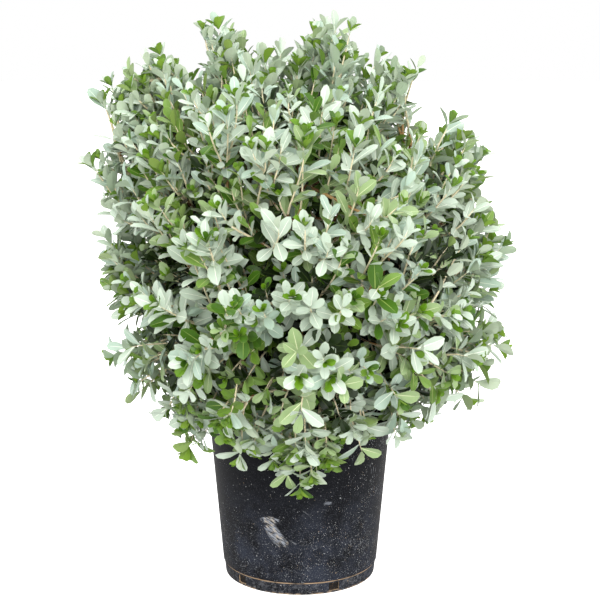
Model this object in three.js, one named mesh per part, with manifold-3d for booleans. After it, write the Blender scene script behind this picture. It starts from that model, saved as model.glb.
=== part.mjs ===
// Potted silver buttonwood: a dense, round young shrub about 1.34 m tall in its black nursery pot.
// Millimetres, +Z up. The origin is the middle of the pot's flat underside, and the front is towards -Y.
// Azimuths are degrees turned from the front towards +X. Rises are degrees above the level.

import * as THREE from "three";
import { mergeVertices } from "three/addons/utils/BufferGeometryUtils.js";
import Module from "manifold-3d";

const wasm = await Module();
wasm.setup();

// Pot and soil
const POT_HEIGHT = 400;
const POT_BASE_RADIUS = 185;
const POT_TOP_RADIUS = 220;
const POT_WALL_AT_FOOT = 8; // to the wall's own line, so that the groove keeps plastic behind it
const POT_WALL_AT_LIP = 4;
const POT_FLOOR = 3;
const POT_SIDES = 36;
const LIP_OUT = 7;
const LIP_HEIGHT = 16;
const FOOT_HEIGHT = 29; // the foot band, set in a little under the groove
const FOOT_IN = 2.5;
const GROOVE_HEIGHT = 3;
const GROOVE_DEPTH = 2;
const DRAIN_AZIMUTHS = [-49, 26, 131, 206];
const DRAIN_WIDTH = 28;
const DRAIN_LOW = 5;
const DRAIN_HIGH = 26;
const SOIL_HEIGHT = 385;
const SOIL_FLAT_RADIUS = 70; // level ground round the trunk's foot
const SOIL_EDGE_DROP = 8;
const CLEARANCE = 0.3; // between solids that touch in the real plant

// Outline of all the foliage: a rounded barrel seen from its middle, whose top is set over to the left
const CANOPY_MIDDLE = 790;
const CANOPY_HALF_WIDTH = 468;
const CANOPY_HALF_DEPTH = 455;
const CANOPY_RISE = 505;
const CANOPY_DROP = 470;
const ROUNDNESS_ABOVE = 2.8;
const ROUNDNESS_BELOW = 3;
const LEAN = -80;
const LEAN_FROM = 1000;
const LEAN_TO = 1200;
const CLEFT_WIDTH = 130; // the outline sinks between one mass and the next
const CLEFT_DEPTH = 0.1;

// Trunk, boughs and masses. The masses of a tier have their hearts at one height and one distance out. Their
// boughs leave the trunk from the fork's height up, and end at one rise. An inner wall, at a rise of its own past
// a bough's tip, keeps the mass out of the shrub's middle
const TRUNK_TOP = 690;
const TRUNK_RADIUS = 29;
const TRUNK_TOP_RADIUS = 19;
const TRUNK_FLARE = 15;
const TRUNK_SIDES = 12;
const TRUNK_STEPS = 9;
const BOUGH_SIDES = 6;
const BOUGH_STEPS = 5;
const BOUGH_TIP_RADIUS = 7;
const FORK_STEP = 9; // each bough of a tier leaves the trunk a little higher than the last
const STEM_LENGTH = 125; // from a bough's tip to its mass's heart
const WALL_PAST_TIP = 6;
const LIMB_ROOM = 2; // kept between a mass and the boughs that pass it
const TIERS = [
  { name: "skirt", count: 5, azimuth: 0, fork: 422, height: 525, out: 285, rise: 12, wall: 5, radius: 10 },
  { name: "waist", count: 5, azimuth: 36, fork: 488, height: 765, out: 300, rise: 48, wall: 12, radius: 12 },
  { name: "shoulder", count: 4, azimuth: -90, fork: 546, height: 1025, out: 262, rise: 66, wall: 38, radius: 13 },
  { name: "top", count: 2, azimuth: -60, fork: 668, height: 1165, out: 100, rise: 76, wall: 76, radius: 13 },
];

// Cores, twigs and leaves of the masses
const CORE_DEPTH_LOW = 58; // how far a core lies inside the outline, low in the shrub
const CORE_DEPTH = 108; // and high in it
const CORE_MARGIN = 5;
const CORE_DETAIL = 1;
const CORE_REACH = 225; // from a mass's heart
const CORE_LUMPS = 0.16;
const CORE_FLOOR = POT_HEIGHT + 14;
const SPACE_MARGIN = 1;
const TWIG_COUNT = 60;
const TWIG_SEED = 15;
const TWIG_SPREAD = 0.22;
const TWIG_ROOT_RADIUS = 7.5;
const TWIG_TIP_RADIUS = 4.5;
const TWIG_STEPS = 3;
const LEAF_PLACES = [0, 16, 34]; // back from a twig's end
const CORE_LEAVES = 56; // places tried over a core for leaves that stand out of it
const CORE_LEAF_ROOT = 12; // how far their roots lie under its face
const CORE_LEAF_RISE = 38;
const LEAF_APART = 30;
const LEAF_TRIES = 4; // turns tried for a leaf before it is skipped
const LEAF_SHORT = 74; // low in the shrub
const LEAF_LONG = 100; // high in it
const LEAF_WIDTH_SHARE = 0.47;
const LEAF_THICKNESS = 4.5;
const LEAF_FOLD = 5;
const LEAF_SPREAD = 44;
const LEAF_ROOT = 2.5; // how far a leaf's root goes past its twig's middle
const GOLDEN_ANGLE = Math.PI * (3 - Math.sqrt(5));
const WELD = 1e-4;

// Shoots that stand out past the outline, by the place of their tips
const LEADING_SHOOTS = [
  [-205, -60, 1340],
  [-165, 45, 1322],
  [62, -20, 1342],
  [120, -85, 1332],
  [-464, -40, 1166],
  [-398, -70, 1240],
  [-335, 20, 1278],
  [282, -30, 1256],
  [200, 120, 1270],
  [436, -60, 1080],
  [-500, -40, 1038],
  [497, -30, 828],
  [488, -60, 566],
  [-466, -80, 545],
  [-262, -195, 345],
  [-140, -275, 345],
  [0, -280, 272],
  [228, -205, 372],
  [60, 275, 318],
  [-225, 205, 345],
  [245, 175, 340],
  [-290, 395, 930],
  [255, 410, 1010],
  [20, 490, 720],
  [-165, -465, 760],
  [215, -440, 980],
];

const COLOURS = {
  pot: { color: 0x2b2d32, roughness: 0.62, metalness: 0 },
  soil: { color: 0x4a3524, roughness: 0.95, metalness: 0 },
  bark: { color: 0x8a6b48, roughness: 0.85, metalness: 0 },
  leaf: { color: 0x8fa583, roughness: 0.6, metalness: 0 },
};

// Numbers between 0 and 1 that are the same each time for one seed
function seeded(seed) {
  let state = seed >>> 0;
  return () => {
    state = (state + 0x6d2b79f5) >>> 0;
    let mixed = Math.imul(state ^ (state >>> 15), state | 1);
    mixed ^= mixed + Math.imul(mixed ^ (mixed >>> 7), mixed | 61);
    return ((mixed ^ (mixed >>> 14)) >>> 0) / 4294967296;
  };
}

function direction(azimuth, rise = 0) {
  const turn = THREE.MathUtils.degToRad(azimuth);
  const lift = THREE.MathUtils.degToRad(rise);
  const level = Math.cos(lift);
  return new THREE.Vector3(Math.sin(turn) * level, -Math.cos(turn) * level, Math.sin(lift));
}

// A closed solid, without the faces of no area that poles and seams leave
function solid(geometry) {
  geometry.deleteAttribute("normal");
  geometry.deleteAttribute("uv");
  const merged = mergeVertices(geometry, WELD);
  const corners = merged.index.array;
  const faces = [];
  for (let face = 0; face < corners.length; face += 3) {
    const [a, b, c] = corners.slice(face, face + 3);
    if (a !== b && b !== c && c !== a) {
      faces.push(a, b, c);
    }
  }
  const vertProperties = new Float32Array(merged.getAttribute("position").array);
  return new wasm.Manifold(new wasm.Mesh({ numProp: 3, vertProperties, triVerts: new Uint32Array(faces) }));
}

// The one body of a joined solid: loose scraps go, and a hollow that joining has sealed is filled
function oneBody(joined) {
  const bodies = joined.decompose();
  bodies.sort((first, second) => second.volume() - first.volume());
  return bodies[0];
}

function namedMesh(name, body, colour) {
  const { vertProperties, triVerts } = body.getMesh();
  const geometry = new THREE.BufferGeometry();
  geometry.setAttribute("position", new THREE.BufferAttribute(new Float32Array(vertProperties), 3));
  geometry.setIndex(new THREE.BufferAttribute(new Uint32Array(triVerts), 1));
  geometry.computeVertexNormals();
  const mesh = new THREE.Mesh(geometry, new THREE.MeshStandardMaterial({ name: colour, ...COLOURS[colour] }));
  mesh.name = name;
  return mesh;
}

// A solid turned about Z from a profile of [radius, height] pairs that starts and ends on the axis
function turned(profile, sides) {
  const points = profile.map(([radius, height]) => new THREE.Vector2(radius, height));
  const geometry = new THREE.LatheGeometry(points, sides);
  geometry.rotateX(Math.PI / 2);
  return solid(geometry);
}

// A cylinder bent along a curve, whose radius depends on how far along and how far round it is
function limb(curve, radiusAt, sides, steps) {
  const geometry = new THREE.CylinderGeometry(1, 1, 1, sides, steps);
  const frames = curve.computeFrenetFrames(steps, false);
  const place = geometry.getAttribute("position");
  for (let index = 0; index < place.count; index += 1) {
    const along = place.getY(index) + 0.5;
    const across = place.getX(index);
    const over = place.getZ(index);
    const radius = radiusAt(along, Math.atan2(over, across));
    const step = Math.round(along * steps);
    const point = curve.getPointAt(along);
    point.addScaledVector(frames.binormals[step], across * radius);
    point.addScaledVector(frames.normals[step], over * radius);
    place.setXYZ(index, point.x, point.y, point.z);
  }
  return solid(geometry);
}

// Pot: blow-moulded tub with a straight flared wall, a rolled lip, and a foot band under a groove
function potWallRadius(height) {
  return THREE.MathUtils.mapLinear(height, 0, POT_HEIGHT, POT_BASE_RADIUS, POT_TOP_RADIUS);
}

function potInnerRadius(height) {
  const wall = THREE.MathUtils.mapLinear(height, 0, POT_HEIGHT, POT_WALL_AT_FOOT, POT_WALL_AT_LIP);
  return potWallRadius(height) - wall;
}

function makePot() {
  const lipLow = POT_HEIGHT - LIP_HEIGHT;
  const grooveTop = FOOT_HEIGHT + GROOVE_HEIGHT;
  const profile = [
    [0, 0],
    [POT_BASE_RADIUS - FOOT_IN - 3, 0],
    [POT_BASE_RADIUS - FOOT_IN, 3],
    [potWallRadius(FOOT_HEIGHT) - FOOT_IN, FOOT_HEIGHT],
    [potWallRadius(FOOT_HEIGHT) - FOOT_IN - GROOVE_DEPTH, FOOT_HEIGHT + 1],
    [potWallRadius(grooveTop), grooveTop],
    [potWallRadius(lipLow), lipLow],
    [potWallRadius(lipLow) + LIP_OUT, lipLow + 2],
    [potWallRadius(POT_HEIGHT) + LIP_OUT, POT_HEIGHT - 4],
    [potWallRadius(POT_HEIGHT) + LIP_OUT - 4, POT_HEIGHT],
    [potWallRadius(POT_HEIGHT) - 2, POT_HEIGHT],
    [potInnerRadius(POT_HEIGHT) + 2, POT_HEIGHT - 5],
    [potInnerRadius(POT_FLOOR), POT_FLOOR],
    [0, POT_FLOOR],
  ];
  let pot = turned(profile, POT_SIDES);
  for (const azimuth of DRAIN_AZIMUTHS) {
    const hole = new THREE.BoxGeometry(DRAIN_WIDTH, 30, DRAIN_HIGH - DRAIN_LOW);
    hole.translate(0, -POT_BASE_RADIUS, (DRAIN_LOW + DRAIN_HIGH) / 2);
    hole.rotateZ(THREE.MathUtils.degToRad(azimuth));
    pot = pot.subtract(solid(hole));
  }
  return pot;
}

// Soil: fills the pot to just under the lip, level round the trunk and a little lower at the wall
function makeSoil() {
  const low = POT_FLOOR + CLEARANCE;
  const edge = SOIL_HEIGHT - SOIL_EDGE_DROP;
  const lowRadius = potInnerRadius(low) - 2 * CLEARANCE;
  const edgeRadius = potInnerRadius(edge) - 2 * CLEARANCE;
  const profile = [
    [0, low],
    [lowRadius, low],
    [edgeRadius, edge],
    [edgeRadius * 0.8, SOIL_HEIGHT - SOIL_EDGE_DROP / 4],
    [SOIL_FLAT_RADIUS, SOIL_HEIGHT],
    [0, SOIL_HEIGHT],
  ];
  return turned(profile, POT_SIDES);
}

// Trunk: short and slightly bent, flat at the soil, with root flare, up to where it forks
const trunkCurve = new THREE.CubicBezierCurve3(
  new THREE.Vector3(0, 0, SOIL_HEIGHT + CLEARANCE),
  new THREE.Vector3(0, 0, SOIL_HEIGHT + 90),
  new THREE.Vector3(10, -6, TRUNK_TOP - 110),
  new THREE.Vector3(-6, 4, TRUNK_TOP),
);

function trunkRadius(along) {
  return TRUNK_RADIUS + (TRUNK_TOP_RADIUS - TRUNK_RADIUS) * along;
}

function makeTrunk(extra) {
  const radiusAt = (along, turn) => {
    const flare = TRUNK_FLARE * (1 - along) ** 9;
    return trunkRadius(along) + flare * (1 + 0.35 * Math.cos(5 * turn)) + extra;
  };
  return limb(trunkCurve, radiusAt, TRUNK_SIDES, TRUNK_STEPS);
}

function leanAt(height) {
  return LEAN * THREE.MathUtils.smoothstep(height, LEAN_FROM, LEAN_TO);
}

// The masses, each with its heart, and the bough that carries it from the trunk to its stem
function planMasses() {
  const masses = [];
  for (const tier of TIERS) {
    for (let index = 0; index < tier.count; index += 1) {
      const azimuth = tier.azimuth + (index * 360) / tier.count;
      const heart = direction(azimuth).multiplyScalar(tier.out);
      heart.x += leanAt(tier.height);
      heart.z = tier.height;
      const entry = direction(azimuth, tier.rise);
      const tip = heart.clone().addScaledVector(entry, -STEM_LENGTH);
      const forkShare = (tier.fork + index * FORK_STEP - SOIL_HEIGHT) / (TRUNK_TOP - SOIL_HEIGHT);
      const fork = trunkCurve.getPointAt(forkShare);
      const forkOut = tier.name === "top" ? trunkRadius(forkShare) * 0.85 : 0;
      fork.addScaledVector(direction(azimuth), forkOut);
      const bend = tip.clone().addScaledVector(entry, -0.5 * tip.distanceTo(fork));
      const curve = new THREE.QuadraticBezierCurve3(fork, bend, tip);
      const name = `${tier.name}_${index + 1}`;
      const wall = direction(azimuth, tier.wall);
      masses.push({ name, heart, entry, wall, tip, curve, radius: tier.radius, ribs: [] });
    }
  }
  return masses;
}

const masses = planMasses();

// The planes round a mass's space: halfway to each other heart, and a wall past its bough's tip that keeps the
// shrub's middle open for the limbs
for (const mass of masses) {
  mass.borders = [{ point: mass.tip.clone().addScaledVector(mass.wall, WALL_PAST_TIP), inward: mass.wall }];
  for (const other of masses) {
    if (other !== mass) {
      const point = mass.heart.clone().add(other.heart).multiplyScalar(0.5);
      mass.borders.push({ point, inward: mass.heart.clone().sub(other.heart).normalize() });
    }
  }
}

function makeBough(mass, extra) {
  const radiusAt = (along) => THREE.MathUtils.lerp(mass.radius, BOUGH_TIP_RADIUS, along) + extra;
  return limb(mass.curve, radiusAt, BOUGH_SIDES, BOUGH_STEPS);
}

// The outline's point in one direction from its middle
function canopyPoint(aim) {
  const reach = aim.z >= 0 ? CANOPY_RISE : CANOPY_DROP;
  const power = aim.z >= 0 ? ROUNDNESS_ABOVE : ROUNDNESS_BELOW;
  const level = Math.hypot(aim.x / CANOPY_HALF_WIDTH, aim.y / CANOPY_HALF_DEPTH);
  const upright = Math.abs(aim.z) / reach;
  const distance = (level ** power + upright ** power) ** (-1 / power);
  const point = aim.clone().multiplyScalar(distance);
  point.z += CANOPY_MIDDLE;
  const apart = masses.map((mass) => mass.heart.distanceTo(point)).sort((first, second) => first - second);
  const cleft = 1 - Math.min(1, (apart[1] - apart[0]) / CLEFT_WIDTH);
  point.lerp(new THREE.Vector3(0, 0, CANOPY_MIDDLE), CLEFT_DEPTH * cleft * cleft);
  point.x += leanAt(point.z);
  return point;
}

function depthInCanopy(point) {
  const fromMiddle = point.clone();
  fromMiddle.x -= leanAt(point.z);
  fromMiddle.z -= CANOPY_MIDDLE;
  const surface = canopyPoint(fromMiddle.clone().normalize());
  surface.x -= leanAt(surface.z);
  surface.z -= CANOPY_MIDDLE;
  return surface.length() - fromMiddle.length();
}

function nearestMass(point) {
  return masses.reduce((best, mass) =>
    mass.heart.distanceTo(point) < best.heart.distanceTo(point) ? mass : best,
  );
}

// How far a point lies inside a mass's own space
function depthInSpace(point, mass) {
  return Math.min(...mass.borders.map((border) => point.clone().sub(border.point).dot(border.inward)));
}

function clearOfPot(point, margin) {
  const outside = Math.hypot(point.x, point.y) > POT_TOP_RADIUS + LIP_OUT + margin;
  return outside || point.z > POT_HEIGHT + margin;
}

// Places along every bough, against which twigs and leaves are tested
const limbPlaces = masses.flatMap((mass) => mass.curve.getSpacedPoints(24).map((point) => ({ point, mass })));

function clearOfLimbs(point, mass, margin) {
  return limbPlaces.every(
    (place) => place.mass === mass || place.point.distanceTo(point) > place.mass.radius + LIMB_ROOM + margin,
  );
}

function allowed(point, mass, margin) {
  const inside = depthInSpace(point, mass) > margin + SPACE_MARGIN;
  return inside && clearOfLimbs(point, mass, margin) && clearOfPot(point, margin);
}

// A place near the border of a mass's space, moved in until it lies a margin inside
function broughtInside(point, mass, margin) {
  const moved = point.clone();
  for (const border of mass.borders) {
    const depth = moved.clone().sub(border.point).dot(border.inward);
    moved.addScaledVector(border.inward, Math.max(0, margin - depth));
  }
  return moved;
}

// The way a twig points at its tip: outwards, upwards high in the shrub and level or hanging low in it
function growthAt(tip) {
  const outward = new THREE.Vector3(tip.x - leanAt(tip.z), tip.y, (tip.z - CANOPY_MIDDLE) * 0.7).normalize();
  const upward = THREE.MathUtils.clamp(THREE.MathUtils.mapLinear(tip.z, 330, 900, -0.9, 0.9), -1.2, 1.2);
  outward.z += upward;
  return outward.normalize();
}

function leafLengthAt(height) {
  const share = THREE.MathUtils.clamp(THREE.MathUtils.mapLinear(height, 450, 900, 0, 1), 0, 1);
  return THREE.MathUtils.lerp(LEAF_SHORT, LEAF_LONG, share);
}

// One of a count of directions that a golden-angle spiral spreads evenly
function evenDirection(index, count) {
  const rise = 1 - (2 * index + 1) / count;
  const level = Math.sqrt(1 - rise * rise);
  const turn = index * GOLDEN_ANGLE;
  return new THREE.Vector3(Math.sin(turn) * level, -Math.cos(turn) * level, rise);
}

// Tips of all twigs: an even golden-angle spread over the outline, seeded a little out of line, and the leading shoots
function planTips() {
  const draw = seeded(TWIG_SEED);
  const tips = [];
  for (let index = 0; index < TWIG_COUNT; index += 1) {
    const aim = evenDirection(index, TWIG_COUNT);
    aim.x += (draw() - 0.5) * TWIG_SPREAD;
    aim.y += (draw() - 0.5) * TWIG_SPREAD;
    aim.z += (draw() - 0.5) * TWIG_SPREAD;
    tips.push(canopyPoint(aim.normalize()));
  }
  return tips.concat(LEADING_SHOOTS.map((place) => new THREE.Vector3(...place)));
}

// A leaf of eight faces: an octahedron drawn out to a blade that is widest past its middle and folded along its rib
function makeLeaf(root, along, faceUp, length) {
  const geometry = new THREE.OctahedronGeometry(1);
  const place = geometry.getAttribute("position");
  for (let index = 0; index < place.count; index += 1) {
    const edge = Math.abs(place.getX(index));
    place.setXYZ(
      index,
      (place.getX(index) * length * LEAF_WIDTH_SHARE) / 2,
      (place.getY(index) + 1 + edge * 0.12) * (length / 2),
      (place.getZ(index) * LEAF_THICKNESS) / 2 + edge * LEAF_FOLD,
    );
  }
  const side = new THREE.Vector3().crossVectors(along, faceUp).normalize();
  const up = new THREE.Vector3().crossVectors(side, along).normalize();
  const turn = new THREE.Matrix4().makeBasis(side, along, up);
  geometry.applyMatrix4(turn.setPosition(root));
  return solid(geometry);
}

// A leaf is grown if it keeps to the mass's space and apart from the leaves that the mass has already
function leafAllowed(root, along, side, length, mass) {
  const halfWidth = (length * LEAF_WIDTH_SHARE) / 2;
  const rib = [0.3, 0.56, 0.8, 1].map((share) => root.clone().addScaledVector(along, length * share));
  const edges = [halfWidth, -halfWidth].map((out) => rib[1].clone().addScaledVector(side, out));
  const inSpace = [...rib, ...edges].every((place) => allowed(place, mass, LEAF_THICKNESS / 2 + 1));
  const apart = rib.every((place) => mass.ribs.every((other) => other.distanceTo(place) > LEAF_APART));
  if (inSpace && apart) {
    mass.ribs.push(...rib.slice(1));
  }
  return inSpace && apart;
}

// A twig from the heart of its mass to one tip, three-sided, with leaves in a golden-angle spiral near its end
function growTwig(tip, mass) {
  const growth = growthAt(tip);
  const length = leafLengthAt(tip.z);
  const end = broughtInside(tip.clone().addScaledVector(growth, LEAF_ROOT - length), mass, TWIG_ROOT_RADIUS + 2);
  const bend = end.clone().addScaledVector(growth, -0.42 * end.distanceTo(mass.heart));
  const curve = new THREE.QuadraticBezierCurve3(mass.heart, bend, end);
  if (!curve.getPoints(8).every((point) => allowed(point, mass, TWIG_ROOT_RADIUS))) {
    return [];
  }
  const radiusAt = (along) => THREE.MathUtils.lerp(TWIG_ROOT_RADIUS, TWIG_TIP_RADIUS, along);
  const parts = [limb(curve, radiusAt, 3, TWIG_STEPS)];
  LEAF_PLACES.forEach((back, index) => {
    const leaf = growLeaf(curve, 1 - back / curve.getLength(), index, length, mass);
    if (leaf) {
      parts.push(leaf);
    }
  });
  return parts;
}

// The first leaf of a twig ends it and the others stand out at a slant, the blade turned to the twig's tip
function growLeaf(curve, share, index, length, mass) {
  const axis = curve.getTangentAt(share);
  const level = new THREE.Vector3().crossVectors(axis, new THREE.Vector3(0, 0, 1)).normalize();
  const slant = index > 0 ? THREE.MathUtils.degToRad(LEAF_SPREAD) : 0.1;
  for (let attempt = 0; attempt < LEAF_TRIES; attempt += 1) {
    const turn = (index + attempt) * GOLDEN_ANGLE + curve.v2.z;
    const outward = level.clone().applyAxisAngle(axis, turn);
    const along = axis.clone().multiplyScalar(Math.cos(slant)).addScaledVector(outward, Math.sin(slant));
    const faceUp = index > 0 ? axis : outward;
    const side = new THREE.Vector3().crossVectors(along, faceUp).normalize();
    const root = curve.getPointAt(share).addScaledVector(along, -LEAF_ROOT);
    if (leafAllowed(root, along, side, length, mass)) {
      return makeLeaf(root, along, faceUp, length);
    }
  }
  return null;
}

function coreDepthAt(height) {
  const share = THREE.MathUtils.smoothstep(height, CORE_FLOOR, CANOPY_MIDDLE);
  return THREE.MathUtils.lerp(CORE_DEPTH_LOW, CORE_DEPTH, share);
}

// How far a mass's dense inside reaches in one direction from its heart, kept inside the outline and lumpy
function coreReach(aim, mass) {
  const step = 5;
  let reach = 0;
  let point = mass.heart;
  while (reach < CORE_REACH && depthInCanopy(point) > coreDepthAt(point.z) && point.z > CORE_FLOOR) {
    reach += step;
    point = mass.heart.clone().addScaledVector(aim, reach);
  }
  const lump = 0.5 + 0.25 * (Math.sin(5 * aim.x + mass.heart.x) + Math.sin(5 * aim.y + 4 * aim.z + mass.heart.y));
  return (reach - step) * (1 - CORE_LUMPS * lump);
}

// A block that takes all that lies past a border, and a margin before it
function blockPast(border, margin) {
  const size = 4 * CORE_REACH;
  const block = new THREE.BoxGeometry(size, size, size);
  block.translate(0, 0, margin - size / 2);
  block.applyQuaternion(new THREE.Quaternion().setFromUnitVectors(new THREE.Vector3(0, 0, 1), border.inward));
  block.translate(border.point.x, border.point.y, border.point.z);
  return solid(block);
}

// A mass's dense inside: a lumpy ball cut to the mass's space
function makeCore(mass) {
  const ball = new THREE.IcosahedronGeometry(1, CORE_DETAIL).deleteAttribute("normal").deleteAttribute("uv");
  const geometry = mergeVertices(ball, WELD);
  const place = geometry.getAttribute("position");
  for (let index = 0; index < place.count; index += 1) {
    const aim = new THREE.Vector3().fromBufferAttribute(place, index).normalize();
    const point = mass.heart.clone().addScaledVector(aim, coreReach(aim, mass));
    place.setXYZ(index, point.x, point.y, point.z);
  }
  return mass.borders.reduce((core, border) => core.subtract(blockPast(border, CORE_MARGIN)), solid(geometry));
}

// Leaves that stand straight out of a core, spread evenly over the side of it that faces the outline
function coreLeaves(mass) {
  const leaves = [];
  for (let index = 0; index < CORE_LEAVES; index += 1) {
    const aim = evenDirection(index, CORE_LEAVES);
    const root = mass.heart.clone().addScaledVector(aim, coreReach(aim, mass) - CORE_LEAF_ROOT);
    const facesOut = depthInCanopy(root) < CORE_DEPTH + 4 * CORE_LEAF_ROOT;
    if (facesOut && depthInSpace(root, mass) > CORE_MARGIN) {
      const length = leafLengthAt(root.z);
      const growth = growthAt(root);
      const tangent = growth.clone().addScaledVector(aim, -growth.dot(aim)).normalize();
      tangent.applyAxisAngle(aim, index * GOLDEN_ANGLE * 0.5);
      const slant = THREE.MathUtils.degToRad(CORE_LEAF_RISE);
      const along = aim.clone().multiplyScalar(Math.sin(slant)).addScaledVector(tangent, Math.cos(slant));
      const side = new THREE.Vector3().crossVectors(along, aim).normalize();
      if (leafAllowed(root, along, side, length, mass)) {
        leaves.push(makeLeaf(root, along, aim, length));
      }
    }
  }
  return leaves;
}

function makeStem(mass) {
  const start = mass.tip.clone().addScaledVector(mass.entry, CLEARANCE);
  const curve = new THREE.LineCurve3(start, mass.heart);
  return limb(curve, () => BOUGH_TIP_RADIUS, BOUGH_SIDES, 1);
}

function makeMass(mass, tips, limbs) {
  let joined = makeCore(mass).add(makeStem(mass));
  const parts = tips.flatMap((tip) => growTwig(tip, mass)).concat(coreLeaves(mass));
  for (const part of parts) {
    joined = joined.add(part);
  }
  for (const other of limbs) {
    joined = joined.subtract(other);
  }
  return oneBody(joined);
}

const shrub = new THREE.Group();
const pot = new THREE.Group();
pot.add(namedMesh("pot", makePot(), "pot"));
pot.add(namedMesh("soil", makeSoil(), "soil"));
shrub.add(pot);

const limbs = new THREE.Group();
limbs.add(namedMesh("trunk", makeTrunk(0), "bark"));
const roundTrunk = makeTrunk(CLEARANCE);
for (const mass of masses) {
  const bough = oneBody(makeBough(mass, 0).subtract(roundTrunk));
  limbs.add(namedMesh(`bough_${mass.name}`, bough, "bark"));
}
shrub.add(limbs);

const foliage = new THREE.Group();
const tips = planTips();
const roundBoughs = masses.map((mass) => makeBough(mass, LIMB_ROOM));
masses.forEach((mass, index) => {
  const ownTips = tips.filter((tip) => nearestMass(tip) === mass);
  const otherBoughs = roundBoughs.filter((bough, place) => place !== index);
  foliage.add(namedMesh(`foliage_${mass.name}`, makeMass(mass, ownTips, otherBoughs), "leaf"));
});
shrub.add(foliage);

export default shrub;
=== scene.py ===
# A potted silver buttonwood: an evergreen shrub with silvery leaves, in a black nursery tub.
# Metres, +Z up. The tub stands at the origin, and -Y is the side that the photograph shows.
import math
import random
from types import SimpleNamespace

import bpy
import numpy as np
from mathutils import Matrix, Vector, noise


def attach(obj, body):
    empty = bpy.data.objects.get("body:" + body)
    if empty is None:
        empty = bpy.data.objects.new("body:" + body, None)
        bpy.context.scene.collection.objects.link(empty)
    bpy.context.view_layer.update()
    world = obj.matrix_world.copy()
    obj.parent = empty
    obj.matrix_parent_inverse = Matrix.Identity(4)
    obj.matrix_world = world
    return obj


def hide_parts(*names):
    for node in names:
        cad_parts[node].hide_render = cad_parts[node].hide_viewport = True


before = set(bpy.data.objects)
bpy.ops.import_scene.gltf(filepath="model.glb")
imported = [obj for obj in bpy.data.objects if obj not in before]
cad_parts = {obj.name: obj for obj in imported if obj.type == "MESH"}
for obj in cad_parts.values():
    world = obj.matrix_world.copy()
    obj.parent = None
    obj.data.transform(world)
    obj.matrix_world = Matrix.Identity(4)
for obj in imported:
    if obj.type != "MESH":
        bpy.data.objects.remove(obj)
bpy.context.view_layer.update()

# Nursery tub: one blow-moulded polythene shell with a straight flared wall, a rolled lip, and a foot band
# below a moulded groove. Four drain holes are punched through the foot band. It is scuffed and splashed
# with potting mix, most of all near the ground.
POT_HEIGHT = 0.400
POT_BASE_RADIUS = 0.185
POT_TOP_RADIUS = 0.220
POT_SIDES = 144
WALL_AT_FOOT = 0.008
WALL_AT_LIP = 0.004
POT_FLOOR = 0.003
LIP_OUT = 0.007
LIP_LOW = 0.384
FOOT_HEIGHT = 0.029
FOOT_IN = 0.0025
GROOVE_TOP = 0.032
GROOVE_DEPTH = 0.002
WALL_RINGS = 14
DRAIN_AZIMUTHS = (-49, 26, 131, 206)
DRAIN_SIZE = (0.028, 0.030, 0.021)
DRAIN_MIDDLE = 0.0155


def wall_radius(height):
    return POT_BASE_RADIUS + (POT_TOP_RADIUS - POT_BASE_RADIUS) * height / POT_HEIGHT


def inner_radius(height):
    wall = WALL_AT_FOOT + (WALL_AT_LIP - WALL_AT_FOOT) * height / POT_HEIGHT
    return wall_radius(height) - wall


def spread(first, last, count):
    """Evenly spaced values from first to last, both counted."""
    return [first + (last - first) * index / (count - 1) for index in range(count)]


def direction(azimuth, rise=0):
    """A unit vector: azimuth 0 is the front, turning towards +X, and rise is above the level, in degrees."""
    turn, lift = math.radians(azimuth), math.radians(rise)
    return Vector((math.sin(turn) * math.cos(lift), -math.cos(turn) * math.cos(lift), math.sin(lift)))


def deselect():
    bpy.ops.object.select_all(action="DESELECT")


def raise_disc(name, profile, sides):
    """A round body about Z: a disc at the first radius and height, extruded ring by ring to the others."""
    deselect()
    radius, height = profile[0]
    bpy.ops.mesh.primitive_circle_add(
        vertices=sides, radius=radius, fill_type="NGON", location=(0, 0, height))
    body = bpy.context.object
    body.name = body.data.name = name
    bpy.ops.object.transform_apply(location=True)
    bpy.ops.object.mode_set(mode="EDIT")
    bpy.ops.mesh.select_all(action="SELECT")
    for next_radius, next_height in profile[1:]:
        bpy.ops.mesh.extrude_region_move(TRANSFORM_OT_translate={"value": (0, 0, next_height - height)})
        scale = next_radius / radius
        bpy.ops.transform.resize(value=(scale, scale, 1), center_override=(0, 0, next_height))
        radius, height = next_radius, next_height
    bpy.ops.mesh.select_all(action="SELECT")
    bpy.ops.mesh.normals_make_consistent(inside=False)
    bpy.ops.object.mode_set(mode="OBJECT")
    return body


def apply_modifier(body, kind, **settings):
    """Adds one modifier to the body, and applies it."""
    bpy.context.view_layer.objects.active = body
    modifier = body.modifiers.new(kind.title(), kind)
    for name, value in settings.items():
        setattr(modifier, name, value)
    bpy.ops.object.modifier_apply(modifier=modifier.name)


def smooth_by_angle(body, degrees):
    deselect()
    body.select_set(True)
    bpy.context.view_layer.objects.active = body
    bpy.ops.object.shade_smooth_by_angle(angle=math.radians(degrees))


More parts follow.
